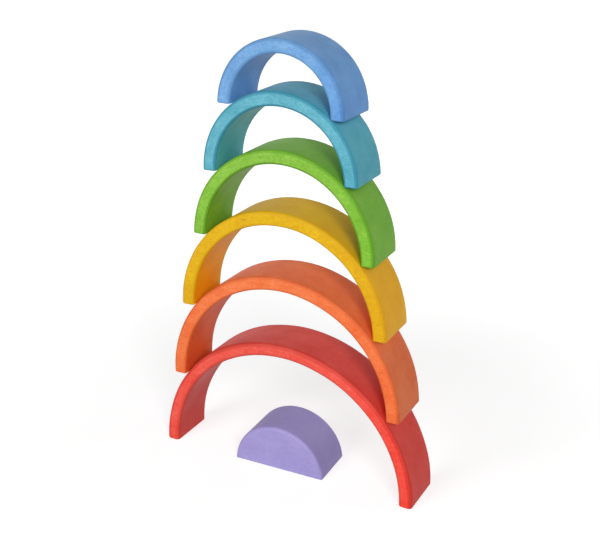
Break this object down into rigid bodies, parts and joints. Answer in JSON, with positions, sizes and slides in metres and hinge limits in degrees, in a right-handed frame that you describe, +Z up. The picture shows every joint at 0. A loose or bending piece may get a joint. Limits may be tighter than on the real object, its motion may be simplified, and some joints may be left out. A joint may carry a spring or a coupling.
{
  "type": "rainbow stacker",
  "caption": "Stained wooden stacking toy: nesting half-round arches stood up as a tower, feet on crests, with the half-round core block under the largest arch.",
  "frame": {"origin": "on the floor, under the middle of the largest arch, midway between its front and back faces", "axes": "+Z up, +X to the right along the span of the arches, +Y from the front faces to the back; the arches lie in the XZ plane"},
  "size_m": [0.26, 0.0547, 0.4022],
  "materials": {
    "red_arch": "satin-matt coloured stain on sanded wood",
    "orange_arch": "satin-matt coloured stain on sanded wood",
    "yellow_arch": "satin-matt coloured stain on sanded wood",
    "green_arch": "satin-matt coloured stain on sanded wood",
    "teal_arch": "satin-matt coloured stain on sanded wood",
    "blue_arch": "satin-matt coloured stain on sanded wood",
    "violet_block": "satin-matt coloured stain on sanded wood"
  },
  "bodies": {
    "red_arch": {"red_arch": "red_arch"},
    "orange_arch": {"orange_arch": "orange_arch"},
    "yellow_arch": {"yellow_arch": "yellow_arch"},
    "green_arch": {"green_arch": "green_arch"},
    "teal_arch": {"teal_arch": "teal_arch"},
    "blue_arch": {"blue_arch": "blue_arch"},
    "violet_block": {"violet_block": "violet_block"}
  },
  "joints": [
    {"name": "orange_lift", "type": "slide", "parent": "red_arch", "child": "orange_arch", "axis": [0, 0, 1], "range_m": [0, 0.073]},
    {"name": "yellow_lift", "type": "slide", "parent": "orange_arch", "child": "yellow_arch", "axis": [0, 0, 1], "range_m": [0, 0.064]},
    {"name": "green_lift", "type": "slide", "parent": "yellow_arch", "child": "green_arch", "axis": [0, 0, 1], "range_m": [0, 0.055]},
    {"name": "teal_lift", "type": "slide", "parent": "green_arch", "child": "teal_arch", "axis": [0, 0, 1], "range_m": [0, 0.047]},
    {"name": "blue_lift", "type": "slide", "parent": "teal_arch", "child": "blue_arch", "axis": [0, 0, 1], "range_m": [0, 0.039]},
    {"name": "block_slide", "type": "slide", "parent": "red_arch", "child": "violet_block", "axis": [0, 1, 0], "range_m": [-0.06, 0.06]}
  ]
}
